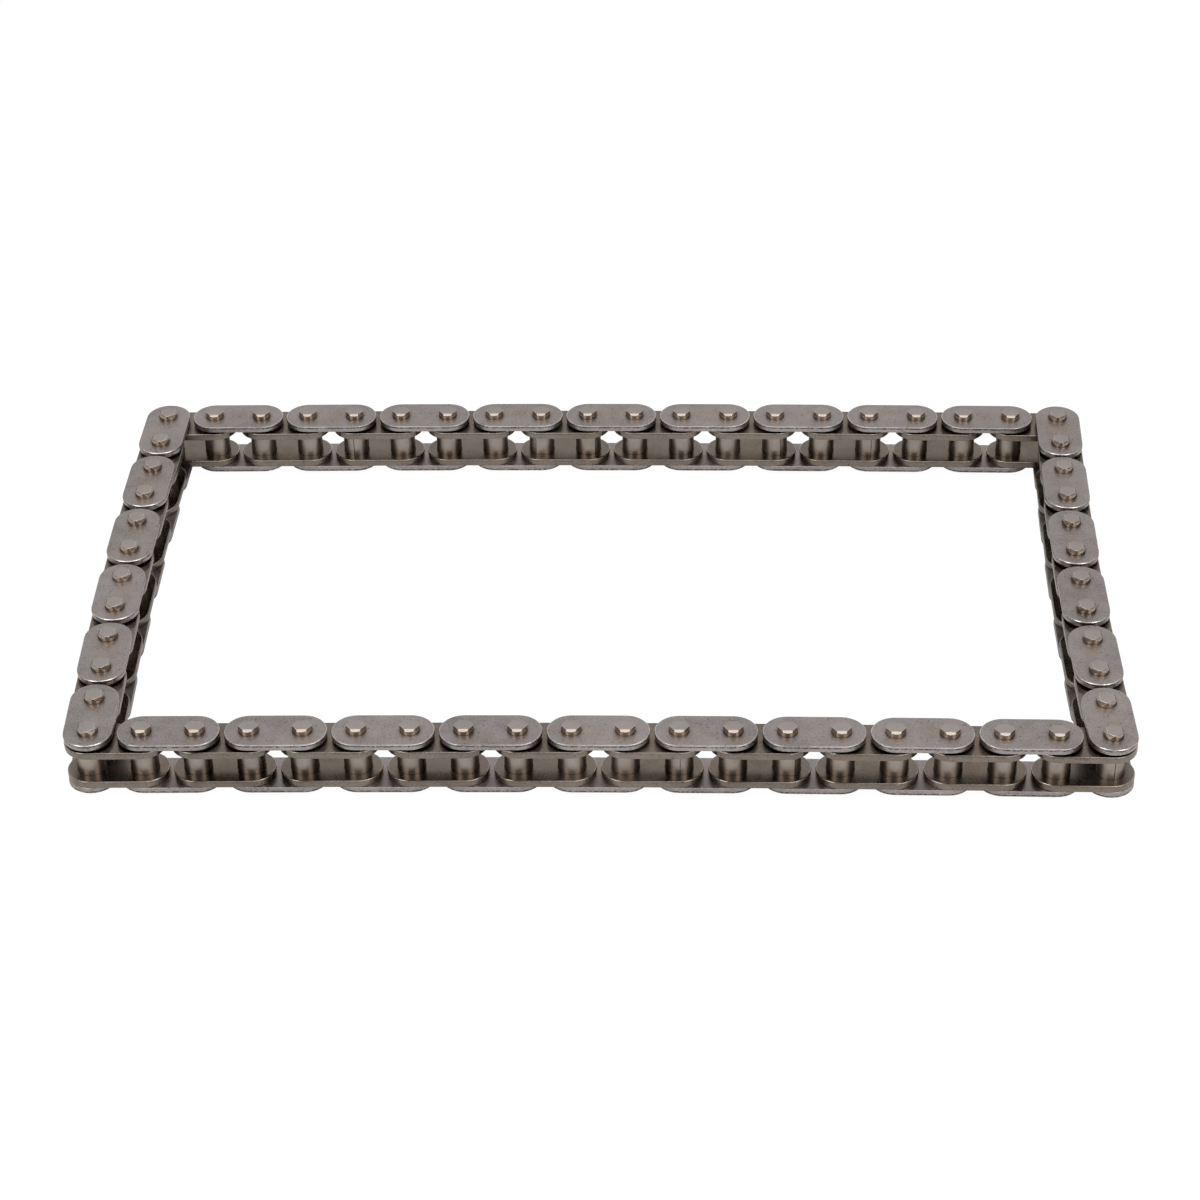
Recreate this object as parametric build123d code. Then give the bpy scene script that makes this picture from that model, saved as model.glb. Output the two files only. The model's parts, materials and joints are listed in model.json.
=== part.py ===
from build123d import *

import math
import os

# Closed bush chain that drives an engine's oil pump, laid flat in a loop with four straight runs.
# X lies along the long runs, Y along the short runs, and Z up the pins.
# The origin is under the middle of the loop, level with the lower ends of the pins.
# Lengths are in millimetres and angles in degrees.

# Links in the loop. A long run starts and ends with an inner link, a short run with an outer one.
outer_links_per_long_run = 9
inner_links_per_short_run = 5
pitch = 9.525

# A run laid by hand bows a little: how far its first and last links lean off the straight.
long_run_lean = 0.85
short_run_lean = 1.7

# Link plates, with round ends about the pins
plate_end_gap = 0.725
outer_plate_thickness = 1.2
inner_plate_thickness = 1.4

# Bushes, curled from strip and pressed into the inner plates
inner_width = 5.0
bush_diameter = 5.08
bush_seam_width = 0.12

# Which way the seam of each bush faces, by the number of its pin from zero. These eight face the
# near side of the loop. The others face the far side, each turned on from the one before.
near_seams = {11: 274, 13: 303, 19: 280, 34: 282, 36: 296, 40: 305, 41: 244, 45: 264}
far_side = 90
far_seam_spread = 60
far_seam_turn = 137.5

# Pins, pressed through the outer plates and staked across the link at both ends
pin_diameter = 3.58
pin_projection = 1.2
pin_chamfer = 0.1
stake_run = 0.38
stake_drop = 0.95
stake_spread = 58

# Running clearances. The inner links lie on the lower outer plates, so the play is at the top.
pin_clearance = 0.05
play_below = 0.05
play_above = 0.45

# Values that follow from the sizes above
plate_height = pitch - plate_end_gap
pin_radius = pin_diameter / 2
bush_radius = bush_diameter / 2
bore_radius = pin_radius + pin_clearance
lower_outer_level = pin_projection
lower_inner_level = lower_outer_level + outer_plate_thickness + play_below
upper_inner_level = lower_inner_level + inner_plate_thickness + inner_width
bush_length = inner_width + 2 * inner_plate_thickness
upper_outer_level = lower_inner_level + bush_length + play_above
pin_length = upper_outer_level + outer_plate_thickness + pin_projection
links_per_long_run = 2 * outer_links_per_long_run + 1
links_per_short_run = 2 * inner_links_per_short_run + 1

# The four runs in order round the loop: number of links, heading and lean of the first link
runs = [
    (links_per_long_run, 0, long_run_lean),
    (links_per_short_run, 90, short_run_lean),
    (links_per_long_run, 180, -long_run_lean),
    (links_per_short_run, 270, -short_run_lean),
]


def link_headings():
    """Heading of every link, anticlockwise round the loop from its near left corner."""
    headings = []
    for count, along, lean in runs:
        for step in range(count):
            headings.append(along + lean * math.cos(math.pi * (step + 0.5) / count))
    return headings


def pin_places(headings):
    """X and Y of the pin that starts each link, with the middle of the loop at zero."""
    places = [Vector(0, 0)]
    for heading in headings[:-1]:
        places.append(places[-1] + Vector(pitch, 0).rotate(Axis.Z, heading))
    low = Vector(min(place.X for place in places), min(place.Y for place in places))
    high = Vector(max(place.X for place in places), max(place.Y for place in places))
    return [place - (low + high) / 2 for place in places]


def link_plate(thickness, hole_radius):
    """Blanked plate on Z = 0 with its first hole at the origin and the second one pitch along X."""
    outline = Pos(pitch / 2, 0) * SlotCenterToCenter(pitch, plate_height)
    holes = Circle(hole_radius) + Pos(pitch, 0) * Circle(hole_radius)
    return extrude(outline - holes, thickness)


def stake_cut(level, turn, flip):
    """Block that takes one slanting stake mark off the rim of a pin end."""
    slope = math.degrees(math.atan2(stake_drop, stake_run))
    block = Box(pin_diameter, pin_diameter, pin_diameter, align=(Align.CENTER, Align.CENTER, Align.MIN))
    placed = Rot(0, 0, turn) * Pos(pin_radius - stake_run, 0) * Rot(0, slope, 0) * block
    return Pos(0, 0, level) * Rot(flip, 0, 0) * placed


def staked_pin():
    """Pin with a chamfer and four stake marks at each end, two to each side of the link."""
    pin = Cylinder(pin_radius, pin_length, align=(Align.CENTER, Align.CENTER, Align.MIN))
    pin = chamfer(pin.edges().filter_by(GeomType.CIRCLE), pin_chamfer)
    for level, flip in ((pin_length, 0), (0, 180)):
        for side in (90, 270):
            for spread in (-stake_spread, stake_spread):
                pin -= stake_cut(level, side + spread, flip)
    return pin


def seam_heading(pin_number):
    """Which way the seam of the bush on a pin faces in the loop."""
    turn = math.radians(pin_number * far_seam_turn)
    return near_seams.get(pin_number, far_side + far_seam_spread * math.cos(turn))


def curled_bush(seam_turn):
    """Bush rolled from strip, with its open seam along the wall at the given angle to the link."""
    wall = Circle(bush_radius) - Circle(bore_radius)
    seam = Pos((bush_radius + bore_radius) / 2, 0) * Rectangle(bush_diameter - bore_radius, bush_seam_width)
    return extrude(wall - Rot(0, 0, seam_turn) * seam, bush_length)


def named(solid, label, place):
    """Copy of a solid moved to its place and given its name."""
    moved = place * solid
    moved.label = label
    return moved


def outer_link(plate, pin):
    """Two outer plates on two pins, with the first pin on the Z axis."""
    return [
        named(plate, "lower_outer_plate", Pos(0, 0, lower_outer_level)),
        named(plate, "upper_outer_plate", Pos(0, 0, upper_outer_level)),
        named(pin, "first_pin", Pos(0, 0, 0)),
        named(pin, "second_pin", Pos(pitch, 0, 0)),
    ]


def inner_link(plate, first_pin, heading):
    """Two inner plates on two bushes, with the bush of the given pin on the Z axis."""
    first_bush = curled_bush(seam_heading(first_pin) - heading)
    second_bush = curled_bush(seam_heading(first_pin + 1) - heading)
    return [
        named(plate, "lower_inner_plate", Pos(0, 0, lower_inner_level)),
        named(plate, "upper_inner_plate", Pos(0, 0, upper_inner_level)),
        named(first_bush, "first_bush", Pos(0, 0, lower_inner_level)),
        named(second_bush, "second_bush", Pos(pitch, 0, lower_inner_level)),
    ]


def write_links():
    """Write every link of the loop as one file of four solids."""
    os.makedirs("parts", exist_ok=True)
    outer_plate = link_plate(outer_plate_thickness, pin_radius)
    inner_plate = link_plate(inner_plate_thickness, bush_radius)
    pin = staked_pin()
    headings = link_headings()
    for index, (heading, place) in enumerate(zip(headings, pin_places(headings))):
        number = index // 2 + 1
        if index % 2 == 0:
            name = f"inner_link_{number:02d}"
            pieces = inner_link(inner_plate, index, heading)
        else:
            name = f"outer_link_{number:02d}"
            pieces = outer_link(outer_plate, pin)
        seat = Location((place.X, place.Y, 0), (0, 0, heading))
        link = Compound(label=name, children=[named(piece, piece.label, seat) for piece in pieces])
        export_step(link, f"parts/{name}.step")


write_links()
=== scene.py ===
"""Dresses a closed bush chain, which drives an engine's oil pump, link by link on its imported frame.

The chain lies flat in a loop, with X along its long runs and Z up its pins. Parts are shaped in
millimetres in a link's own frame, where the first pin stands on the Z axis and the second stands
one pitch along X. Each finished piece is then laid in its place in metres.
"""

import json
import logging
import math
from dataclasses import dataclass, field
from enum import Enum

import bmesh
import bpy
from mathutils import Matrix, Vector

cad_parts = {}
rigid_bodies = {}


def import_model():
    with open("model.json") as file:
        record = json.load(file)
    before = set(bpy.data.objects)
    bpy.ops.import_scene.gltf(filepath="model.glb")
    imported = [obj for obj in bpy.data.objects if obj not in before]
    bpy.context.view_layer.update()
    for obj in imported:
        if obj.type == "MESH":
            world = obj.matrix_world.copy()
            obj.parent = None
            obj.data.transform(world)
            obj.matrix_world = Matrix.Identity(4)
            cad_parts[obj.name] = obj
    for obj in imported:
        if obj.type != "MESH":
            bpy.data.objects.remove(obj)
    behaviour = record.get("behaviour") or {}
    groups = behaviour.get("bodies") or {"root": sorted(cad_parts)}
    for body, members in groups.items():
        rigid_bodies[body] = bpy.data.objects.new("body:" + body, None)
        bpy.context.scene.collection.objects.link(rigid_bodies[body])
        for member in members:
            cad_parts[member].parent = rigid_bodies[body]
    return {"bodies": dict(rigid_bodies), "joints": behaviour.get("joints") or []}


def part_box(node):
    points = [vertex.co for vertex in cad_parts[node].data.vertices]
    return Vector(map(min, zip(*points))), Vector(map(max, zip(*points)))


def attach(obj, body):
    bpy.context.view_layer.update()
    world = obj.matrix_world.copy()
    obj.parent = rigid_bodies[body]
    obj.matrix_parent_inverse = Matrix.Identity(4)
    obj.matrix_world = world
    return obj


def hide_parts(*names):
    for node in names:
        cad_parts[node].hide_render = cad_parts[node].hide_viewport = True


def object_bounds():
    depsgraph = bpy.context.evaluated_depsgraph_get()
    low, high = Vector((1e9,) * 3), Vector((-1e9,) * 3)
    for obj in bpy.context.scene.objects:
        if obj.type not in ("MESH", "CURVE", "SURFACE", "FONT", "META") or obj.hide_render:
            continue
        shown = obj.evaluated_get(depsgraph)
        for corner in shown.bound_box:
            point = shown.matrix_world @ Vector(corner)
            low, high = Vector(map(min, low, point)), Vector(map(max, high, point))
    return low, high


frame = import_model()
cad_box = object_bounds()

log = logging.getLogger("bush_chain")

# Short names for types
Shape = bmesh.types.BMesh
Mesh = bpy.types.Mesh
Material = bpy.types.Material
Socket = bpy.types.NodeSocket
Colour = tuple[float, float, float, float]
Groups = dict[str, bpy.types.NodeTree]

# A number or colour for a shader's socket, or another socket to wire it to
Value = Socket | float | tuple[float, ...]

# One millimetre in metres, and how near, in millimetres, two places count as one
MM = 0.001
NEAR = 1e-4

# Two faces that turn by more than this many radians meet in a corner
CORNER = 1.0

# The least upward part of the normal of a level face
LEVEL = 0.999

# Names of the vertices' attributes, which the finishes read
LAY = "lay"
EDGE_WEAR_AND_HIGHLIGHT = "wear"

# Which ways the two sides of a link face, in degrees from its line
SIDES = (90, 270)

# Which way the seam of each bush faces, in degrees, by the number of its pin from zero. These eight
# face the near side of the loop. The others face the far side, each turned on from the one before.
NEAR_SEAMS = {11: 274, 13: 303, 19: 280, 34: 282, 36: 296, 40: 305, 41: 244, 45: 264}
FAR_SIDE = 90
FAR_SEAM_SPREAD = 60
FAR_SEAM_TURN = 137.5


class Slot(Enum):
    """The record's material slots."""

    OUTER = "outer_link_steel"
    INNER = "inner_link_steel"


class Run(Enum):
    """Which way fine lines run on round stock: how close they lie across its axis and up it."""

    ALONG = (1.0, 0.06)
    AROUND = (0.12, 1.0)


@dataclass(frozen=True)
class Seat:
    """Where one link lies in the loop.

    Attributes:
        body: Name of the link's body, which is also the name of its node.
        number: The link's number among those of its kind, from 1.
        first_pin: Number of its first pin round the loop, from 0.
        start: Foot of its first pin, in metres.
        end: Foot of its second pin, in metres.
    """

    body: str
    number: int
    first_pin: int
    start: Vector
    end: Vector

    def is_outer(self) -> bool:
        """Tells an outer link, which starts at an odd pin, from an inner one."""
        return self.first_pin % 2 == 1

    def heading(self) -> float:
        """Returns which way the link points, in degrees."""
        along = self.end - self.start
        return math.degrees(math.atan2(along.y, along.x))

    def matrix(self) -> Matrix:
        """Returns the transform from the link's own millimetres to its place in metres."""
        turn = Matrix.Rotation(math.radians(self.heading()), 4, "Z")
        return Matrix.Translation(self.start) @ turn @ Matrix.Scale(MM, 4)


def read_seats() -> list[Seat]:
    """Reads the place of every link from the frame's joints.

    Returns:
        The seats in order round the loop. The one pivot that no joint holds is found by
        mirroring the pin before it through the middle of the link between them.
    """
    pivots = {joint["name"]: Vector(joint["pos_m"]) for joint in frame["joints"]}
    count = len(frame["bodies"])
    numbers = [index // 2 + 1 for index in range(count)]
    bodies = [f"{('inner', 'outer')[index % 2]}_link_{numbers[index]:02d}" for index in range(count)]
    feet = []
    for index in range(count):
        place = pivots.get(f"pivot_{index + 1:02d}")
        if place is None:
            low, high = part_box(bodies[index - 1])
            place = low + high - feet[-1]
        feet.append(Vector((place.x, place.y, 0)))
    return [
        Seat(body, numbers[index], index, feet[index], feet[(index + 1) % count])
        for index, body in enumerate(bodies)
    ]


def seam_heading(pin_number: int) -> float:
    """Returns which way the seam of the bush on a pin faces in the loop, in degrees."""
    turn = math.radians(pin_number * FAR_SEAM_TURN)
    return NEAR_SEAMS.get(pin_number, FAR_SIDE + FAR_SEAM_SPREAD * math.cos(turn))


def as_mesh(shape: Shape, name: str) -> Mesh:
    """Turns a shape into a mesh and frees the shape.

    Args:
        shape: The finished shape, in millimetres.
        name: Name of the mesh.

    Returns:
        The mesh.
    """
    mesh = bpy.data.meshes.new(name)
    shape.to_mesh(mesh)
    shape.free()
    return mesh


def mark_lay(shape: Shape) -> None:
    """Keeps every vertex's place in its own part, so that a finish can follow the part's shape.

    Args:
        shape: The finished shape.
    """
    layer = shape.verts.layers.float_vector.new(LAY)
    for vert in shape.verts:
        vert[layer] = vert.co


def mark_edge_wear_and_highlight(shape: Shape, rounded: list[bmesh.types.BMFace]) -> None:
    """Notes which vertices run along the middle of a rounded edge, which the finishes paint bright,
    partly as rubbed wear and partly as a painted highlight.

    Args:
        shape: The shape.
        rounded: Faces of its rounded edges, two or more side by side.
    """
    layer = shape.verts.layers.float.get(EDGE_WEAR_AND_HIGHLIGHT) or shape.verts.layers.float.new(EDGE_WEAR_AND_HIGHLIGHT)
    faces = set(rounded)
    for vert in {vert for face in rounded for vert in face.verts}:
        if all(face in faces for face in vert.link_faces):
            vert[layer] = 1.0


def gather(parts: list[tuple[Mesh, Matrix]], name: str) -> Mesh:
    """Puts several parts together as one mesh of separate closed shells.

    Args:
        parts: Each part's mesh and its place in the link, in millimetres.
        name: Name of the new mesh.

    Returns:
        The new mesh.
    """
    whole = bmesh.new()
    for mesh, place in parts:
        before = len(whole.verts)
        whole.from_mesh(mesh)
        whole.verts.ensure_lookup_table()
        bmesh.ops.transform(whole, matrix=place, verts=whole.verts[before:])
    return as_mesh(whole, name)


def side_smooth(shape: Shape, sharp_angle: float) -> None:
    """Shades a shape smooth except on its level faces and across its sharp edges.

    Args:
        shape: The shape to shade.
        sharp_angle: Least angle between two faces that stay sharp, in degrees.
    """
    for face in shape.faces:
        face.smooth = abs(face.normal.z) < LEVEL
    for edge in shape.edges:
        edge.smooth = edge.calc_face_angle(math.pi) < math.radians(sharp_angle)


def verts_of(geom: list) -> list[bmesh.types.BMVert]:
    """Returns the vertices among the parts that an operator made."""
    return [part for part in geom if isinstance(part, bmesh.types.BMVert)]


def is_level(edge: bmesh.types.BMEdge) -> bool:
    """Tells whether both ends of an edge stand at one height."""
    return abs(edge.verts[0].co.z - edge.verts[1].co.z) < NEAR


def round_edges(
    shape: Shape, edges: list[bmesh.types.BMEdge], size: float, segments: int,
) -> list[bmesh.types.BMFace]:
    """Breaks or rounds some edges of a shape.

    Args:
        shape: The shape.
        edges: The edges.
        size: How far each edge is cut back.
        segments: Faces across each edge. One makes a flat chamfer.

    Returns:
        The new faces.
    """
    return bmesh.ops.bevel(
        shape, geom=edges, offset=size, offset_type="OFFSET", segments=segments,
        profile=0.5, affect="EDGES", material=-1, clamp_overlap=True,
    )["faces"]


def close_holes(shape: Shape) -> None:
    """Closes every open outline of a shape with one face."""
    open_edges = [edge for edge in shape.edges if edge.is_boundary]
    bmesh.ops.holes_fill(shape, edges=open_edges, sides=0)


@dataclass(frozen=True)
class LinkPlate:
    """A blanked plate with full-round ends about two holes.

    The punch leaves one rim rounded, here the upper one, and the metal tears along the far part of
    the edge. Sizes are in millimetres and angles in degrees.
    """

    pitch: float
    thickness: float
    hole_radius: float
    end_radius: float
    rim_round: float = 0.2
    rim_segments: int = 3
    burr_break: float = 0.05
    hole_break: float = 0.07
    torn_depth: float = 0.34
    torn_draft: float = 0.05
    end_steps: int = 16
    sharp_angle: float = 30.0

    def inset(self, place: Vector) -> float:
        """Returns how far a point lies inside the plate's outline."""
        beyond = max(abs(place.x - self.pitch / 2) - self.pitch / 2, 0.0)
        return self.end_radius - math.hypot(beyond, place.y)

    def bored(self, place: Vector) -> bool:
        """Tells whether a point lies on the edge of either hole."""
        reach = min(math.hypot(place.x - centre, place.y) for centre in (0.0, self.pitch))
        return abs(reach - self.hole_radius) < NEAR

    def faces_web(self, edge: bmesh.types.BMEdge) -> bool:
        """Tells whether an edge of the first end borders the web between the holes."""
        inward = all(-NEAR < vert.co.x < self.pitch / 2 for vert in edge.verts)
        return inward and len(edge.link_faces) < 2

    def face(self) -> Shape:
        """Makes the plate's flat face from a spun end, its twin and the web between them.

        Returns:
            The face on Z = 0.
        """
        shape = bmesh.new()
        hole = shape.verts.new((0, self.hole_radius, 0))
        rim = shape.verts.new((0, self.end_radius, 0))
        line = shape.edges.new((hole, rim))
        spin = {"axis": (0, 0, 1), "cent": (0, 0, 0), "steps": self.end_steps, "use_merge": False}
        bmesh.ops.spin(shape, geom=[hole, rim, line], angle=math.pi, **spin)
        end = shape.verts[:] + shape.edges[:] + shape.faces[:]
        twin = bmesh.ops.duplicate(shape, geom=end)["geom"]
        half_turn = Matrix.Rotation(math.pi, 3, "Z")
        bmesh.ops.rotate(shape, cent=(self.pitch / 2, 0, 0), matrix=half_turn, verts=verts_of(twin))
        lip = shape.verts.new((0, self.hole_radius, 0))
        bmesh.ops.spin(shape, geom=[lip], angle=-math.pi, **spin)
        bmesh.ops.remove_doubles(shape, verts=shape.verts[:], dist=NEAR)
        chain = [edge for edge in shape.edges if self.faces_web(edge)]
        web = bmesh.ops.extrude_edge_only(shape, edges=chain)["geom"]
        for vert in verts_of(web):
            vert.co.x = self.pitch - vert.co.x
        bmesh.ops.remove_doubles(shape, verts=shape.verts[:], dist=NEAR)
        return shape

    def mesh(self) -> Mesh:
        """Makes the finished plate.

        Returns:
            The plate, standing on Z = 0.
        """
        shape = self.face()
        raised = bmesh.ops.extrude_face_region(shape, geom=shape.faces[:])["geom"]
        bmesh.ops.translate(shape, verts=verts_of(raised), vec=(0, 0, self.thickness))
        bmesh.ops.recalc_face_normals(shape, faces=shape.faces[:])
        self.tear(shape)
        self.break_edges(shape)
        mark_lay(shape)
        side_smooth(shape, self.sharp_angle)
        return as_mesh(shape, "link_plate")

    def tear(self, shape: Shape) -> None:
        """Draws the lower part of the outer wall in, as the tear leaves it.

        Args:
            shape: The plate before its edges are broken.
        """
        wall = [face for face in shape.faces if all(self.inset(v.co) < NEAR for v in face.verts)]
        edges = {edge for face in wall for edge in face.edges}
        verts = {vert for face in wall for vert in face.verts}
        bmesh.ops.bisect_plane(
            shape,
            geom=wall + list(edges) + list(verts),
            dist=NEAR,
            plane_co=(0, 0, self.thickness - self.torn_depth),
            plane_no=(0, 0, 1),
        )
        for vert in shape.verts:
            if vert.co.z < NEAR and self.inset(vert.co) < NEAR:
                nearest = Vector((min(max(vert.co.x, 0.0), self.pitch), 0, 0))
                vert.co -= (vert.co - nearest).normalized() * self.torn_draft

    def break_edges(self, shape: Shape) -> None:
        """Rounds the upper rim and breaks the lower rim and the edges of the holes.

        Args:
            shape: The plate.
        """
        level = [edge for edge in shape.edges if is_level(edge)]
        outside = [
            edge for edge in level
            if all(self.inset(vert.co) < 2 * self.torn_draft for vert in edge.verts)
        ]
        upper = [edge for edge in outside if edge.verts[0].co.z > self.thickness - NEAR]
        lower = [edge for edge in outside if edge.verts[0].co.z < NEAR]
        holes = [
            edge for edge in level
            if edge.calc_face_angle(0.0) > CORNER and all(self.bored(vert.co) for vert in edge.verts)
        ]
        round_edges(shape, lower, self.burr_break, 1)
        round_edges(shape, holes, self.hole_break, 1)
        mark_edge_wear_and_highlight(shape, round_edges(shape, upper, self.rim_round, self.rim_segments))


@dataclass(frozen=True)
class StakedPin:
    """A pin whose ends slope down to both sides of the link and have four steep stake marks each.

    Sizes are in millimetres and angles in degrees.
    """

    radius: float = 1.79
    length: float = 13.1
    stake_run: float = 0.27
    stake_drop: float = 0.80
    stake_spread: float = 53.0
    side_run: float = 0.54
    side_drop: float = 0.30
    flat_radius: float = 0.5
    dome_fall: float = 0.05
    dome_rings: int = 3
    soft_edge: float = 0.12
    soft_segments: int = 3
    crease_angle: float = 14.0
    sharp_angle: float = 40.0
    steps: int = 32

    def mesh(self) -> Mesh:
        """Makes the finished pin.

        Returns:
            The pin, standing on Z = 0.
        """
        shape = bmesh.new()
        bmesh.ops.create_cone(
            shape, cap_ends=True, cap_tris=False, segments=self.steps,
            radius1=self.radius, radius2=self.radius, depth=self.length,
            matrix=Matrix.Translation((0, 0, self.length / 2)),
        )
        for level, up in ((self.length, 1), (0.0, -1)):
            self.crown(shape, level, up)
            for side in SIDES:
                self.cut(shape, level, up, side, self.side_run, self.side_drop)
                for spread in (-self.stake_spread, self.stake_spread):
                    self.cut(shape, level, up, side + spread, self.stake_run, self.stake_drop)
        bmesh.ops.recalc_face_normals(shape, faces=shape.faces[:])
        crease = math.radians(self.crease_angle)
        creases = [edge for edge in shape.edges if edge.calc_face_angle(0.0) > crease]
        mark_edge_wear_and_highlight(shape, round_edges(shape, creases, self.soft_edge, self.soft_segments))
        mark_lay(shape)
        side_smooth(shape, self.sharp_angle)
        return as_mesh(shape, "staked_pin")

    def crown(self, shape: Shape, level: float, up: int) -> None:
        """Lets one pin end fall away towards its rim, as riveting leaves it.

        Args:
            shape: The pin.
            level: Height of the pin end.
            up: 1 at the upper end and -1 at the lower one.
        """
        slope = self.radius - self.flat_radius
        end = [face for face in shape.faces if all(abs(v.co.z - level) < NEAR for v in face.verts)]
        for _ in range(self.dome_rings):
            bmesh.ops.inset_region(
                shape, faces=end, thickness=slope / self.dome_rings, use_even_offset=True,
            )
        for vert in shape.verts:
            if abs(vert.co.z - level) < NEAR:
                beyond = max(vert.co.xy.length - self.flat_radius, 0.0) / slope
                vert.co.z -= up * self.dome_fall * beyond ** 2

    def cut(
        self, shape: Shape, level: float, up: int, heading: float, run: float, drop: float,
    ) -> None:
        """Cuts one slanting flat off the rim of a pin end.

        Args:
            shape: The pin.
            level: Height of the pin end.
            up: 1 at the upper end and -1 at the lower one.
            heading: Which way the flat faces.
            run: How far in from the wall the flat starts.
            drop: How far it falls by the time it reaches the wall.
        """
        turn = math.radians(heading)
        facing = Vector((math.cos(turn), math.sin(turn), 0))
        bmesh.ops.bisect_plane(
            shape,
            geom=shape.verts[:] + shape.edges[:] + shape.faces[:],
            dist=NEAR,
            plane_co=facing * (self.radius - run) + Vector((0, 0, level)),
            plane_no=facing * drop + Vector((0, 0, up * run)),
            clear_outer=True,
        )
        close_holes(shape)


@dataclass(frozen=True)
class CurledBush:
    """A bush rolled from strip, with an open seam up its wall.

    Sizes are in millimetres and angles in degrees.
    """

    outer_radius: float = 2.54
    bore_radius: float = 1.84
    length: float = 7.8
    seam_width: float = 0.12
    rim_break: float = 0.08
    sharp_angle: float = 30.0
    steps: int = 40

    def mesh(self, seam_heading: float) -> Mesh:
        """Makes the bush.

        Args:
            seam_heading: Which way the seam faces, from the line of the link.

        Returns:
            The bush, standing on Z = 0.
        """
        shape = bmesh.new()
        corners = [
            shape.verts.new((radius, 0, height))
            for radius, height in (
                (self.bore_radius, 0), (self.outer_radius, 0),
                (self.outer_radius, self.length), (self.bore_radius, self.length),
            )
        ]
        outline = [shape.edges.new((corners[k - 1], corners[k])) for k in range(len(corners))]
        gap = 2 * math.asin(self.seam_width / 2 / self.outer_radius)
        start = Matrix.Rotation(math.radians(seam_heading) + gap / 2, 3, "Z")
        bmesh.ops.rotate(shape, cent=(0, 0, 0), matrix=start, verts=corners)
        bmesh.ops.spin(
            shape, geom=corners + outline, axis=(0, 0, 1), cent=(0, 0, 0),
            angle=math.tau - gap, steps=self.steps, use_merge=False,
        )
        close_holes(shape)
        bmesh.ops.recalc_face_normals(shape, faces=shape.faces[:])
        rims = [
            edge for edge in shape.edges
            if all(vert.co.xy.length > self.outer_radius - NEAR for vert in edge.verts)
            and edge.calc_face_angle(0.0) > CORNER
            and is_level(edge)
        ]
        round_edges(shape, rims, self.rim_break, 1)
        mark_lay(shape)
        side_smooth(shape, self.sharp_angle)
        return as_mesh(shape, "curled_bush")


class NodeSheet:
    """Lays out the nodes of one shader tree and wires them."""

    def __init__(self, tree: bpy.types.NodeTree) -> None:
        """Starts on an empty tree."""
        self.tree = tree
        tree.nodes.clear()

    def add(
        self, kind: str, inputs: dict[str | int, Value] | None = None, **settings: object,
    ) -> bpy.types.Node:
        """Adds a node.

        Args:
            kind: Blender's name for the kind of node.
            inputs: A value or a socket for each named or numbered input.
            settings: Values for the node's own properties.

        Returns:
            The new node.
        """
        node = self.tree.nodes.new(kind)
        for name, value in settings.items():
            setattr(node, name, value)
        for name, value in (inputs or {}).items():
            self.feed(node.inputs[name], value)
        return node

    def feed(self, socket: Socket, value: Value) -> None:
        """Wires a socket to another, or sets its value.

        Args:
            socket: The socket to fill.
            value: The other socket, or the value.
        """
        if isinstance(value, Socket):
            self.tree.links.new(value, socket)
        else:
            socket.default_value = value

    def place(self) -> Socket:
        """Returns a point's place on the whole object, in metres."""
        return self.add("ShaderNodeTexCoord").outputs["Object"]

    def lay(self) -> Socket:
        """Returns a point's place in its own part, in millimetres."""
        return self.add("ShaderNodeAttribute", attribute_name=LAY).outputs["Vector"]

    def math(self, operation: str, first: Value, second: Value = 0.0, clamp: bool = False) -> Socket:
        """Returns the result of a sum on two values, kept between 0 and 1 if clamp is set."""
        inputs = {0: first, 1: second}
        return self.add("ShaderNodeMath", inputs, operation=operation, use_clamp=clamp).outputs[0]

    def length(self, vector: Value) -> Socket:
        """Returns the length of a vector."""
        return self.add("ShaderNodeVectorMath", {0: vector}, operation="LENGTH").outputs["Value"]

    def fade(
        self, value: Value, low: float, high: float, start: float = 0.0, end: float = 1.0,
    ) -> Socket:
        """Turns a value smoothly into another.

        Args:
            value: The value.
            low: The value up to which the result stays at its start.
            high: The value from which the result stays at its end.
            start: The result below low.
            end: The result above high.

        Returns:
            The result.
        """
        inputs = {"Value": value, "From Min": low, "From Max": high, "To Min": start, "To Max": end}
        node = self.add("ShaderNodeMapRange", inputs, interpolation_type="SMOOTHSTEP")
        return node.outputs["Result"]

    def mix(self, share: Value, first: Value, second: Value, how: str = "MIX") -> Socket:
        """Mixes two colours.

        Args:
            share: Share of the second colour.
            first: The first colour.
            second: The second colour.
            how: Blender's name for the way of mixing.

        Returns:
            The mixed colour.
        """
        node = self.add("ShaderNodeMix", data_type="RGBA", blend_type=how)
        for index, value in ((0, share), (6, first), (7, second)):
            self.feed(node.inputs[index], value)
        return node.outputs[2]

    def grey(self, level: Value) -> Socket:
        """Returns a grey of a given level."""
        return self.add("ShaderNodeCombineColor", {0: level, 1: level, 2: level}).outputs[0]

    def noise(self, place: Value, scale: float, detail: float, roughness: float = 0.5) -> Socket:
        """Returns a noise value around a half. Scale is in waves to each unit of place."""
        inputs = {"Vector": place, "Scale": scale, "Detail": detail, "Roughness": roughness}
        return self.add("ShaderNodeTexNoise", inputs).outputs["Fac"]

    def swing(self, place: Value, scale: float, detail: float, roughness: float = 0.5) -> Socket:
        """Returns a noise value around zero."""
        return self.math("SUBTRACT", self.noise(place, scale, detail, roughness), 0.5)


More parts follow.
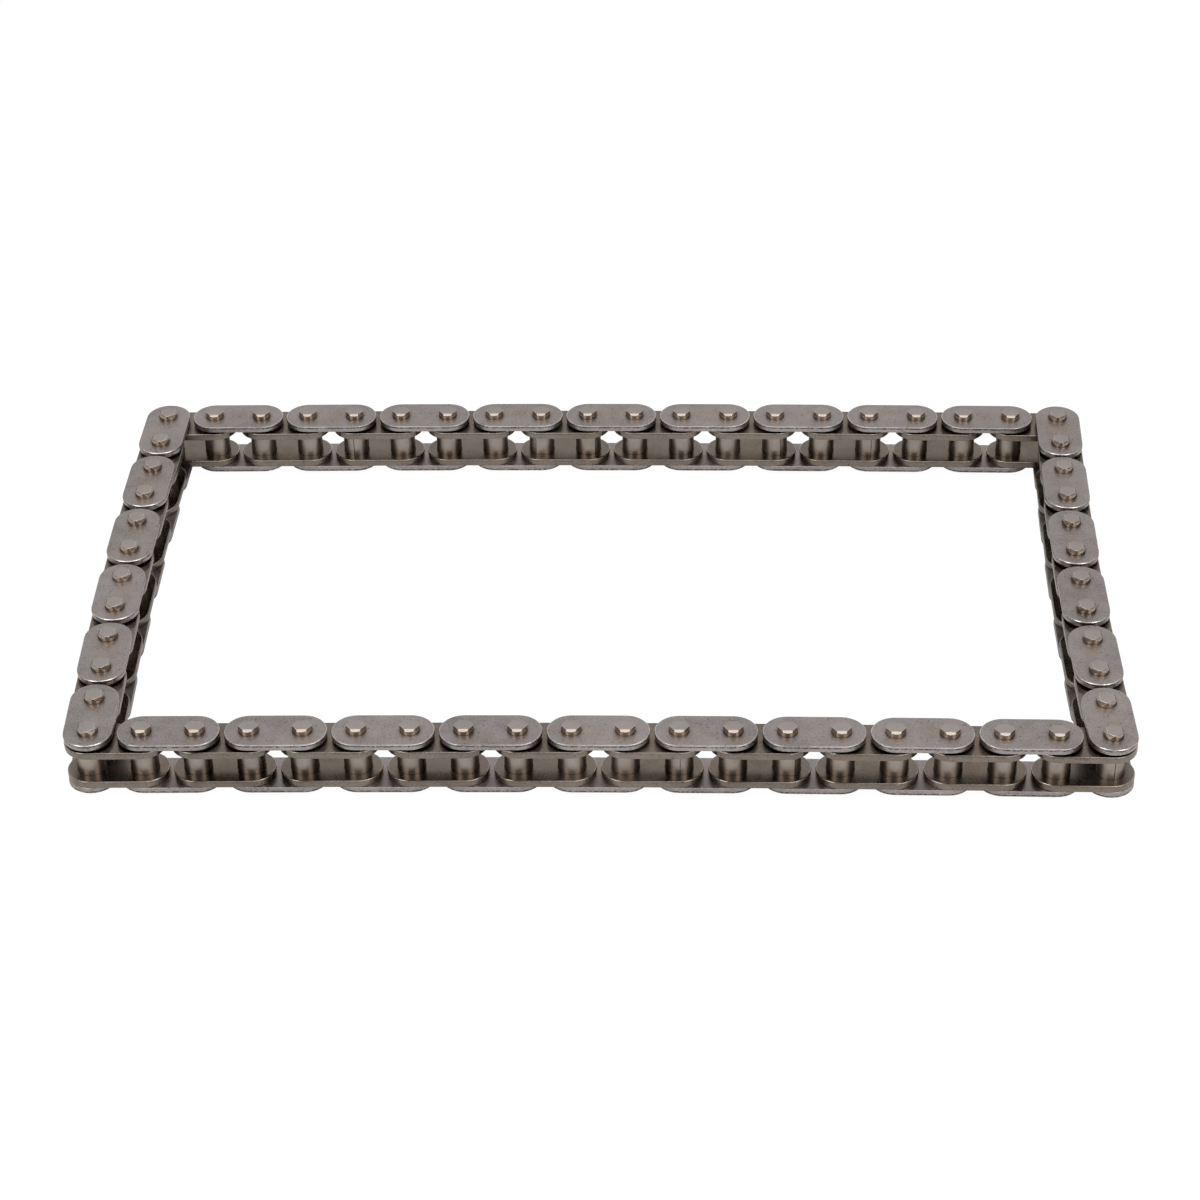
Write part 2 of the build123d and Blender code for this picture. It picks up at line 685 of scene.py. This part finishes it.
def new_group(
    name: str, inputs: dict[str, float], outputs: tuple[str, ...],
) -> tuple[NodeSheet, bpy.types.NodeOutputs, bpy.types.NodeInputs]:
    """Starts a node group with named number sockets.

    Args:
        name: Name of the group.
        inputs: Each input's name and its usual value.
        outputs: Names of the outputs.

    Returns:
        The sheet to lay nodes on, what the group is given and what it has to put out.
    """
    tree = bpy.data.node_groups.new(name, "ShaderNodeTree")
    for label, value in inputs.items():
        socket = tree.interface.new_socket(label, in_out="INPUT", socket_type="NodeSocketFloat")
        socket.default_value = value
    for label in outputs:
        tree.interface.new_socket(label, in_out="OUTPUT", socket_type="NodeSocketFloat")
    sheet = NodeSheet(tree)
    return sheet, sheet.add("NodeGroupInput").outputs, sheet.add("NodeGroupOutput").inputs


def make_cloud_group() -> bpy.types.NodeTree:
    """Builds the mottle of tumbled steel: soft clouds, fine grain and small pits.

    Returns:
        The node group.
    """
    sheet, given, result = new_group(
        "tumbled_mottle", {"Cloud": 0.2, "Grain": 0.2, "Pits": 0.3}, ("Shade", "Sheen", "Height"),
    )
    place = sheet.place()
    drift = sheet.swing(place, scale=62.0, detail=1.0)
    cloud = sheet.math("ADD", sheet.swing(place, scale=330.0, detail=3.0), drift)
    cloud = sheet.math("MULTIPLY", cloud, given["Cloud"])
    grain = sheet.swing(place, scale=2600.0, detail=2.0, roughness=0.7)
    grain = sheet.math("MULTIPLY", grain, given["Grain"])
    pits = sheet.fade(sheet.noise(place, scale=2300.0, detail=1.0), low=0.66, high=0.74)
    pits = sheet.math("MULTIPLY", pits, given["Pits"])
    shade = sheet.math("ADD", sheet.math("ADD", cloud, grain), 1.0)
    half_grain = sheet.math("MULTIPLY", grain, 0.5)
    sheet.feed(result["Shade"], sheet.math("SUBTRACT", shade, pits))
    sheet.feed(result["Sheen"], sheet.math("ADD", half_grain, cloud))
    sheet.feed(result["Height"], sheet.math("SUBTRACT", grain, pits))
    return sheet.tree


def make_line_group() -> bpy.types.NodeTree:
    """Builds fine drawn or ground lines, stretched one way over the part's own shape.

    Returns:
        The node group.
    """
    sheet, given, result = new_group(
        "drawn_lines", {"Across": 1.0, "Up": 1.0, "Strength": 0.3}, ("Shade", "Height"),
    )
    across = given["Across"]
    closeness = sheet.add("ShaderNodeCombineXYZ", {"X": across, "Y": across, "Z": given["Up"]})
    stretched = sheet.add(
        "ShaderNodeVectorMath", {0: sheet.lay(), 1: closeness.outputs[0]}, operation="MULTIPLY",
    )
    lines = sheet.swing(stretched.outputs[0], scale=5.5, detail=2.0, roughness=0.6)
    lines = sheet.math("MULTIPLY", lines, given["Strength"])
    sheet.feed(result["Shade"], sheet.math("ADD", lines, 1.0))
    sheet.feed(result["Height"], lines)
    return sheet.tree


def make_plate_group() -> bpy.types.NodeTree:
    """Builds what a plate's own shape decides: its rim, ends, torn line, painted shade round the pins
    and middle.

    Returns:
        The node group.
    """
    sheet, given, result = new_group(
        "plate_places", {"Half pitch": 4.76, "End radius": 4.4, "Torn level": 0.9},
        ("Rim", "End", "Torn", "Pin shade", "Middle"),
    )
    local = sheet.add("ShaderNodeSeparateXYZ", {0: sheet.lay()}).outputs
    ragged = sheet.swing(sheet.place(), scale=1500.0, detail=2.0, roughness=0.6)
    half = given["Half pitch"]
    from_middle = sheet.math("ABSOLUTE", sheet.math("SUBTRACT", local["X"], half))
    past_hole = sheet.math("SUBTRACT", from_middle, half)
    side = sheet.math("ABSOLUTE", local["Y"])

    from_line = sheet.add(
        "ShaderNodeCombineXYZ", {"X": sheet.math("MAXIMUM", past_hole, 0.0), "Y": side},
    )
    inset = sheet.math("SUBTRACT", given["End radius"], sheet.length(from_line.outputs[0]))
    rim_line = sheet.math("ADD", inset, sheet.math("MULTIPLY", ragged, 0.35))
    rim = sheet.fade(rim_line, low=0.02, high=0.34, start=1.0, end=0.0)
    end = sheet.fade(past_hole, low=1.2, high=3.6)

    height = sheet.math("ADD", local["Z"], sheet.math("MULTIPLY", ragged, 0.3))
    off_line = sheet.math("ABSOLUTE", sheet.math("SUBTRACT", given["Torn level"], height))
    line = sheet.fade(off_line, low=0.08, high=0.17, start=1.0, end=0.0)
    wall = sheet.fade(inset, low=0.06, high=0.14, start=1.0, end=0.0)
    torn = sheet.math("MULTIPLY", line, wall)

    # Painted shade: a dark ring on the plate round each pin, where the pin meets it.
    from_pin = sheet.add(
        "ShaderNodeCombineXYZ", {"X": sheet.math("ABSOLUTE", past_hole), "Y": side},
    )
    pin_shade_reach = sheet.math("ADD", sheet.length(from_pin.outputs[0]), ragged)
    hole = sheet.fade(pin_shade_reach, low=1.7, high=2.5, start=1.0, end=0.0)

    along = sheet.fade(from_middle, low=0.5, high=4.0, start=1.0, end=0.0)
    across = sheet.fade(side, low=1.0, high=4.0, start=1.0, end=0.0)
    middle = sheet.math("MULTIPLY", along, across)
    for label, value in (
        ("Rim", rim), ("End", end), ("Torn", torn), ("Pin shade", hole), ("Middle", middle),
    ):
        sheet.feed(result[label], value)
    return sheet.tree


@dataclass(frozen=True)
class SteelFinish:
    """Colours and sheen of one steel surface.

    Attributes:
        name: Name of the material.
        colour: The steel's own colour, which on the inner plates is also darkened as painted shade.
        stain: Colour of its warmer patches.
        rub_and_highlight: Colour where it is rubbed bright, which on rounded edges is also a painted
            highlight.
        glance: Tint of what it mirrors at a glancing angle, where an oil film keeps it dark.
        roughness: Roughness of the sound surface.
        cloud: Strength of the soft mottle.
        grain: Strength of the fine grain.
        bump: Height of the grain, in metres.
    """

    name: str
    colour: Colour
    stain: Colour
    rub_and_highlight: Colour
    glance: Colour
    roughness: float
    cloud: float
    grain: float
    bump: float

    def start(self) -> tuple[Material, NodeSheet]:
        """Makes the empty material.

        Returns:
            The material and its sheet.
        """
        material = bpy.data.materials.new(self.name)
        material.use_nodes = True
        return material, NodeSheet(material.node_tree)

    def mottle(self, sheet: NodeSheet, groups: Groups, pits: float) -> bpy.types.NodeOutputs:
        """Returns the shade, sheen and height of the mottle, with pits of a given strength."""
        inputs = {"Cloud": self.cloud, "Grain": self.grain, "Pits": pits}
        return sheet.add("ShaderNodeGroup", inputs, node_tree=groups["mottle"]).outputs

    def edge_wear_and_highlight(self, sheet: NodeSheet) -> Socket:
        """Returns how far a rounded edge is painted bright, partly as rubbed wear and partly as a
        painted highlight.
        """
        return sheet.add("ShaderNodeAttribute", attribute_name=EDGE_WEAR_AND_HIGHLIGHT).outputs["Fac"]

    def close(
        self, material: Material, sheet: NodeSheet, colour: Value, roughness: Value, height: Value,
    ) -> Material:
        """Adds the shader, the bump and the output.

        Args:
            material: The material.
            sheet: Its sheet.
            colour: Socket with the finished colour.
            roughness: Socket with the finished roughness.
            height: Socket with the height of the surface.

        Returns:
            The finished material.
        """
        bump = sheet.add("ShaderNodeBump", {"Height": height, "Distance": self.bump, "Strength": 1.0})
        shader = sheet.add(
            "ShaderNodeBsdfPrincipled",
            {
                "Base Color": colour, "Roughness": roughness, "Metallic": 1.0,
                "Normal": bump.outputs[0], "Specular Tint": self.glance,
            },
        )
        sheet.add("ShaderNodeOutputMaterial", {"Surface": shader.outputs[0]})
        return material


@dataclass(frozen=True)
class PlateFinish(SteelFinish):
    """Blanked and tumbled strip, rubbed at its rims and torn low on its edges, with painted
    highlights on its rounded rims and painted shade round its pins.

    Attributes:
        dark: Colour of the torn line, and of the painted shade round the pins.
        torn: Strength of the dark line where the tear starts.
        pits: Strength of the small pits.
        rim_share: How far the flat next to a rim is rubbed bright.
        side_wear_and_highlight: Share of the rubbed brightness on the rounded rims along a plate's
            sides, where its ends have 1. It is partly real wear and partly a painted highlight.
        pin_shade_share: How far the steel is darkened round a pin hole, as painted shade where pin
            and plate meet.
        stain_floor: How far stains spread outside the middle of a plate.
        sheen: How far the mottle reaches the roughness.
        worn_polish: How much smoother a rubbed rim is.
        torn_rough: How much rougher the torn line is.
        torn_dip: How deep the torn line lies, in heights of the grain.
    """

    dark: Colour
    torn: float
    pits: float = 0.45
    rim_share: float = 0.11
    side_wear_and_highlight: float = 0.14
    pin_shade_share: float = 0.3
    stain_floor: float = 0.35
    sheen: float = 0.6
    worn_polish: float = 0.12
    torn_rough: float = 0.25
    torn_dip: float = 1.5

    def material(self, groups: Groups, plate: LinkPlate) -> Material:
        """Builds the material for one size of plate.

        Args:
            groups: The node groups of the mottle and of a plate's places.
            plate: The plate.

        Returns:
            The material.
        """
        material, sheet = self.start()
        mottle = self.mottle(sheet, groups, self.pits)
        sizes = {
            "Half pitch": plate.pitch / 2,
            "End radius": plate.end_radius,
            "Torn level": plate.thickness - plate.torn_depth,
        }
        places = sheet.add("ShaderNodeGroup", sizes, node_tree=groups["plate"]).outputs
        place = sheet.place()

        patches = sheet.noise(place, scale=210.0, detail=3.0, roughness=0.6)
        spread = sheet.math("ADD", places["Middle"], self.stain_floor)
        patches = sheet.fade(patches, low=0.38, high=0.68)
        stain = sheet.math("MULTIPLY", patches, spread, clamp=True)
        rim = sheet.math("MULTIPLY", places["Rim"], self.rim_share)
        # Painted shade: the steel is darkened in a ring round each pin.
        oil = sheet.math("MULTIPLY", places["Pin shade"], self.pin_shade_share)
        speckle = sheet.noise(place, scale=2200.0, detail=2.0, roughness=0.7)
        torn = sheet.math("MULTIPLY", places["Torn"], sheet.fade(speckle, low=0.36, high=0.56))
        torn = sheet.math("MULTIPLY", torn, self.torn)
        # Rounded rims painted bright: partly rubbed wear and partly a painted highlight, fuller at
        # the plate's ends than along its sides.
        along = sheet.fade(places["End"], low=0.0, high=1.0, start=self.side_wear_and_highlight, end=1.0)
        edge_wear_and_highlight = sheet.math("MULTIPLY", self.edge_wear_and_highlight(sheet), along)

        colour = sheet.mix(stain, self.colour, self.stain)
        colour = sheet.mix(rim, colour, self.rub_and_highlight)
        colour = sheet.mix(oil, colour, self.dark)
        colour = sheet.mix(torn, colour, self.dark)
        colour = sheet.mix(edge_wear_and_highlight, colour, self.rub_and_highlight)
        colour = sheet.mix(1.0, colour, sheet.grey(mottle["Shade"]), how="MULTIPLY")

        rough = sheet.math("MULTIPLY", mottle["Sheen"], self.sheen)
        rough = sheet.math("ADD", rough, self.roughness)
        rough = sheet.math("SUBTRACT", rough, sheet.math("MULTIPLY", edge_wear_and_highlight, self.worn_polish))
        roughened = sheet.math("MULTIPLY", torn, self.torn_rough)
        rough = sheet.math("ADD", rough, roughened, clamp=True)
        dip = sheet.math("MULTIPLY", torn, self.torn_dip)
        height = sheet.math("SUBTRACT", mottle["Height"], dip)
        return self.close(material, sheet, colour, rough, height)


@dataclass(frozen=True)
class TurnedFinish(SteelFinish):
    """Ground or rolled round stock with fine lines.

    Attributes:
        end: Colour of the end faces.
        wall_radius: Radius from which the wall's colour starts, in millimetres.
        run: Which way the fine lines run.
        lines: Strength of the lines.
        pits: Strength of the small pits.
        wall_fade: How far in from there the end's colour starts, in millimetres.
        sheen: How far the mottle reaches the roughness.
    """

    end: Colour
    wall_radius: float
    run: Run
    lines: float
    pits: float = 0.15
    wall_fade: float = 0.2
    sheen: float = 0.5

    def material(self, groups: Groups) -> Material:
        """Builds the material.

        Args:
            groups: The node groups of the mottle and of the fine lines.

        Returns:
            The material.
        """
        material, sheet = self.start()
        mottle = self.mottle(sheet, groups, self.pits)
        across, up = self.run.value
        drawn = sheet.add(
            "ShaderNodeGroup", {"Across": across, "Up": up, "Strength": self.lines},
            node_tree=groups["lines"],
        ).outputs

        patches = sheet.noise(sheet.place(), scale=260.0, detail=3.0, roughness=0.6)
        stain = sheet.fade(patches, low=0.4, high=0.66)
        flat = sheet.add(
            "ShaderNodeVectorMath", {0: sheet.lay(), 1: (1, 1, 0)}, operation="MULTIPLY",
        )
        radius = sheet.length(flat.outputs[0])
        wall = sheet.fade(radius, low=self.wall_radius - self.wall_fade, high=self.wall_radius)
        shade = sheet.math("MULTIPLY", mottle["Shade"], drawn["Shade"])

        colour = sheet.mix(stain, self.colour, self.stain)
        colour = sheet.mix(wall, self.end, colour)
        # Rounded edges painted bright: partly rubbed wear and partly a painted highlight.
        colour = sheet.mix(self.edge_wear_and_highlight(sheet), colour, self.rub_and_highlight)
        colour = sheet.mix(1.0, colour, sheet.grey(shade), how="MULTIPLY")

        rough = sheet.math("MULTIPLY", mottle["Sheen"], self.sheen)
        rough = sheet.math("ADD", rough, self.roughness, clamp=True)
        height = sheet.math("ADD", mottle["Height"], drawn["Height"])
        return self.close(material, sheet, colour, rough, height)


def put(mesh: Mesh, name: str, seat: Seat, material: Material) -> None:
    """Lays a copy of a link's part in its place and hangs it on the link's body.

    Args:
        mesh: The part, in the link's own millimetres.
        name: Name of the new piece.
        seat: Where the link lies.
        material: The part's finish.
    """
    placed = mesh.copy()
    placed.name = name
    placed.transform(seat.matrix())
    placed.materials.append(material)
    piece = bpy.data.objects.new(name, placed)
    bpy.context.scene.collection.objects.link(piece)
    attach(piece, seat.body)
    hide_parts(seat.body)
    log.info("%s: %d faces on %s", name, len(placed.polygons), seat.body)


@dataclass
class BushChain:
    """The whole loop of outer and inner links. Sizes are in millimetres and angles in degrees."""

    seats: list[Seat]
    plate_end_radius: float = 4.4
    outer_plate_thickness: float = 1.2
    inner_plate_thickness: float = 1.4
    lower_outer_level: float = 1.2
    lower_inner_level: float = 2.45
    upper_inner_level: float = 8.85
    upper_outer_level: float = 10.7
    pin: StakedPin = field(default_factory=StakedPin)
    bush: CurledBush = field(default_factory=CurledBush)
    pitch: float = field(init=False)
    outer_plate: LinkPlate = field(init=False)
    inner_plate: LinkPlate = field(init=False)

    def __post_init__(self) -> None:
        """Takes the pitch from the frame and sizes the two kinds of plate."""
        self.pitch = (self.seats[0].end - self.seats[0].start).length / MM
        self.outer_plate = LinkPlate(
            self.pitch, self.outer_plate_thickness, self.pin.radius, self.plate_end_radius,
        )
        self.inner_plate = LinkPlate(
            self.pitch, self.inner_plate_thickness, self.bush.outer_radius, self.plate_end_radius,
        )

    def outer_plates(self) -> Mesh:
        """Builds the outer plates of a link. Both turn their rounded rims outwards.

        Returns:
            Both plates in one mesh.
        """
        plate = self.outer_plate.mesh()
        turned_over = Matrix.Rotation(math.pi, 4, "X")
        lower_top = self.lower_outer_level + self.outer_plate_thickness
        lower = Matrix.Translation((0, 0, lower_top)) @ turned_over
        upper = Matrix.Translation((0, 0, self.upper_outer_level))
        return gather([(plate, lower), (plate, upper)], "outer_plates")

    def inner_plates(self) -> Mesh:
        """Builds the inner plates of a link. Both have their rounded rims above.

        Returns:
            Both plates in one mesh.
        """
        plate = self.inner_plate.mesh()
        lower = Matrix.Translation((0, 0, self.lower_inner_level))
        upper = Matrix.Translation((0, 0, self.upper_inner_level))
        return gather([(plate, lower), (plate, upper)], "inner_plates")

    def pins(self) -> Mesh:
        """Builds the two pins of an outer link.

        Returns:
            Both pins in one mesh.
        """
        pin = self.pin.mesh()
        second = Matrix.Translation((self.pitch, 0, 0))
        return gather([(pin, Matrix.Identity(4)), (pin, second)], "pins")

    def bushes(self, seat: Seat) -> Mesh:
        """Builds the two bushes of one inner link, each with its own seam.

        Args:
            seat: Where the link lies.

        Returns:
            Both bushes in one mesh.
        """
        parts = []
        for place in (0, 1):
            seam = seam_heading(seat.first_pin + place) - seat.heading()
            foot = Matrix.Translation((place * self.pitch, 0, self.lower_inner_level))
            parts.append((self.bush.mesh(seam), foot))
        return gather(parts, "bushes")

    def build(self, finishes: dict[str, Material]) -> None:
        """Builds and places every link of the loop.

        Args:
            finishes: The materials of outer plates, inner plates, pins and bushes.
        """
        outer_plates = self.outer_plates()
        inner_plates = self.inner_plates()
        pins = self.pins()
        for seat in self.seats:
            if seat.is_outer():
                parts = (("outer_plates", outer_plates), ("pins", pins))
            else:
                parts = (("inner_plates", inner_plates), ("bushes", self.bushes(seat)))
            for kind, mesh in parts:
                put(mesh, f"{kind}_{seat.number:02d}", seat, finishes[kind])


def make_finishes(chain: BushChain) -> dict[str, Material]:
    """Makes the four steel finishes of the chain.

    Args:
        chain: The chain, which gives the sizes of its plates.

    Returns:
        Each finish by the kind of piece that it is for.
    """
    groups = {"mottle": make_cloud_group(), "lines": make_line_group(), "plate": make_plate_group()}
    outer = PlateFinish(
        name="outer_plate_steel",
        colour=(0.300, 0.268, 0.259, 1), stain=(0.300, 0.255, 0.225, 1),
        rub_and_highlight=(0.62, 0.59, 0.56, 1), dark=(0.045, 0.036, 0.03, 1), glance=(1, 1, 1, 1),
        roughness=0.40, cloud=0.6, grain=0.95, bump=0.000014, torn=0.9,
    )
    # The inner plates' colours are darker than the outer plates' partly as their own tone and partly
    # as painted shade of the gaps between the outer plates.
    inner = PlateFinish(
        name="inner_plate_steel",
        colour=(0.186, 0.156, 0.132, 1), stain=(0.168, 0.134, 0.105, 1),
        rub_and_highlight=(0.42, 0.37, 0.32, 1), dark=(0.05, 0.038, 0.028, 1), glance=(0.9, 0.9, 0.9, 1),
        roughness=0.25, cloud=0.55, grain=0.6, bump=0.000008, torn=0.3,
    )
    pin = TurnedFinish(
        name="pin_steel",
        colour=(0.42, 0.345, 0.28, 1), stain=(0.38, 0.305, 0.24, 1),
        rub_and_highlight=(0.70, 0.63, 0.54, 1), end=(0.345, 0.308, 0.290, 1), glance=(0.7, 0.68, 0.64, 1),
        roughness=0.22, cloud=0.2, grain=0.1, bump=0.000001,
        wall_radius=1.74, run=Run.AROUND, lines=0.1,
    )
    bush = TurnedFinish(
        name="bush_steel",
        colour=(0.330, 0.292, 0.258, 1), stain=(0.295, 0.252, 0.215, 1),
        rub_and_highlight=(0.50, 0.46, 0.42, 1), end=(0.330, 0.292, 0.258, 1), glance=(0.4, 0.38, 0.35, 1),
        roughness=0.32, cloud=0.3, grain=0.2, bump=0.000003,
        wall_radius=2.5, run=Run.ALONG, lines=0.25,
    )
    return {
        "outer_plates": outer.material(groups, chain.outer_plate),
        "inner_plates": inner.material(groups, chain.inner_plate),
        "pins": pin.material(groups),
        "bushes": bush.material(groups),
    }


def toward(azimuth: float, elevation: float) -> Vector:
    """Returns a direction, from its angle round from the near side and its height, in degrees."""
    around, up = math.radians(azimuth), math.radians(elevation)
    return Vector((math.sin(around) * math.cos(up), -math.cos(around) * math.cos(up), math.sin(up)))


@dataclass(frozen=True)
class Softbox:
    """A flat lamp that faces the middle of the table. Lengths are in metres and angles in degrees.

    Attributes:
        name: Name of the lamp.
        azimuth: Its direction from the near side round to the right.
        elevation: Its height above the table.
        width: Its width.
        height: Its height from edge to edge.
        radiance: How bright its face is.
        distance: How far it hangs from the middle of the table.
    """

    name: str
    azimuth: float
    elevation: float
    width: float
    height: float
    radiance: float
    distance: float = 1.0

    def hang(self) -> None:
        """Adds the lamp to the scene."""
        light = bpy.data.lights.new(self.name, "AREA")
        light.shape = "RECTANGLE"
        light.size = self.width
        light.size_y = self.height
        light.energy = self.radiance * math.pi * self.width * self.height
        lamp = bpy.data.objects.new(self.name, light)
        bpy.context.scene.collection.objects.link(lamp)
        lamp.location = toward(self.azimuth, self.elevation) * self.distance
        lamp.rotation_euler = (-lamp.location).to_track_quat("-Z", "Y").to_euler()


SOFTBOXES = (
    Softbox("top_softbox", azimuth=0, elevation=74, width=0.8, height=0.8, radiance=1.6),
    Softbox("left_softbox", azimuth=-42, elevation=36, width=0.42, height=0.75, radiance=3.2),
    Softbox("right_softbox", azimuth=42, elevation=36, width=0.42, height=0.75, radiance=3.2),
)


@dataclass
class Studio:
    """A white table in soft light, and the camera. Lengths are in metres and angles in degrees.

    Attributes:
        table_side: Length of the table's sides.
        table_gap: How far the table lies under the chain.
        table_grey: The table's own colour, where it lights the chain.
        table_glow: How white the camera sees it, where 1 is white.
        table_glow_share: Share of that white in what the camera sees. The rest shows shadow.
        wall_elevation: Height of the room's lighter and darker sides.
        camera_azimuth: The camera's direction from the near side round to the right.
        camera_elevation: Its height above the table.
        camera_roll: Its turn about its own line of sight.
        camera_distance: Its distance from the target.
        camera_angle: Its angle of view.
        camera_start: Distance at which it starts to see.
        target: The place that it looks at.
    """

    table_side: float = 6.0
    table_gap: float = 0.0002
    table_grey: float = 0.85
    table_glow: float = 1.04
    table_glow_share: float = 0.93
    wall_elevation: float = 30.0
    camera_azimuth: float = 2.005
    camera_elevation: float = 35.391
    camera_roll: float = -1.0075
    camera_distance: float = 0.58307
    camera_angle: float = 21.713
    camera_start: float = 0.01
    target: tuple[float, float, float] = (-0.000154, -0.013438, 0.0127)

    def build(self) -> None:
        """Builds the table, the light and the camera."""
        bpy.context.scene.view_settings.view_transform = "Standard"
        self.table()
        self.world()
        for softbox in SOFTBOXES:
            softbox.hang()
        self.camera()

    def table(self) -> None:
        """Lays the white table under the chain."""
        shape = bmesh.new()
        bmesh.ops.create_grid(shape, x_segments=1, y_segments=1, size=self.table_side / 2)
        level = cad_box[0].z - self.table_gap
        bmesh.ops.translate(shape, verts=shape.verts[:], vec=(0, 0, level))
        top = bpy.data.objects.new("table", as_mesh(shape, "table"))
        bpy.context.scene.collection.objects.link(top)
        material = bpy.data.materials.new("table_white")
        material.use_nodes = True
        sheet = NodeSheet(material.node_tree)
        ray = sheet.add("ShaderNodeLightPath")
        share = sheet.math("MULTIPLY", ray.outputs["Is Camera Ray"], self.table_glow_share)
        grey = (self.table_grey, self.table_grey, self.table_grey, 1)
        lit = sheet.add("ShaderNodeBsdfDiffuse", {"Color": grey})
        glow = sheet.add("ShaderNodeEmission", {"Color": (1, 1, 1, 1), "Strength": self.table_glow})
        surface = sheet.add("ShaderNodeMixShader", {0: share, 1: lit.outputs[0], 2: glow.outputs[0]})
        sheet.add("ShaderNodeOutputMaterial", {"Surface": surface.outputs[0]})
        top.data.materials.append(material)

    def world(self) -> None:
        """Makes the room: lighter above and behind, and a little darker round the camera."""
        world = bpy.data.worlds.new("room")
        world.use_nodes = True
        bpy.context.scene.world = world
        sheet = NodeSheet(world.node_tree)
        way = sheet.add("ShaderNodeTexCoord").outputs["Generated"]
        up = self.along(sheet, way, Vector((0, 0, 1)))
        back = self.along(sheet, way, toward(180, self.wall_elevation))
        front = self.along(sheet, way, toward(0, self.wall_elevation))
        above = sheet.fade(up, low=0.0, high=0.9, start=0.32, end=0.58)
        behind = sheet.fade(back, low=0.5, high=0.95, start=0.0, end=0.40)
        before = sheet.fade(front, low=0.6, high=0.92, start=1.0, end=0.85)
        level = sheet.math("MULTIPLY", sheet.math("ADD", above, behind), before)
        ray = sheet.add("ShaderNodeLightPath")
        colour = sheet.mix(ray.outputs["Is Camera Ray"], sheet.grey(level), (1, 1, 1, 1))
        room = sheet.add("ShaderNodeBackground", {"Color": colour, "Strength": 1.0})
        sheet.add("ShaderNodeOutputWorld", {"Surface": room.outputs[0]})

    def along(self, sheet: NodeSheet, way: Socket, direction: Vector) -> Socket:
        """Returns how nearly a way into the room runs along a direction, up to 1."""
        inputs = {0: way, 1: tuple(direction)}
        return sheet.add("ShaderNodeVectorMath", inputs, operation="DOT_PRODUCT").outputs["Value"]

    def camera(self) -> None:
        """Sets the camera at the viewing angle of the photograph."""
        lens = bpy.data.cameras.new("camera")
        lens.sensor_fit = "HORIZONTAL"
        lens.angle = math.radians(self.camera_angle)
        lens.clip_start = self.camera_start
        camera = bpy.data.objects.new("camera", lens)
        bpy.context.scene.collection.objects.link(camera)
        forward = -toward(self.camera_azimuth, self.camera_elevation)
        level = forward.to_track_quat("-Z", "Y").to_matrix().to_4x4()
        roll = Matrix.Rotation(math.radians(self.camera_roll), 4, "Z")
        place = Vector(self.target) - forward * self.camera_distance
        camera.matrix_world = Matrix.Translation(place) @ level @ roll
        bpy.context.scene.camera = camera


def main() -> None:
    """Builds the chain and the studio, and notes the size of the model."""
    logging.basicConfig(level=logging.INFO, format="%(name)s %(message)s")
    chain = BushChain(read_seats())
    chain.build(make_finishes(chain))
    Studio().build()


if __name__ == "__main__":
    main()
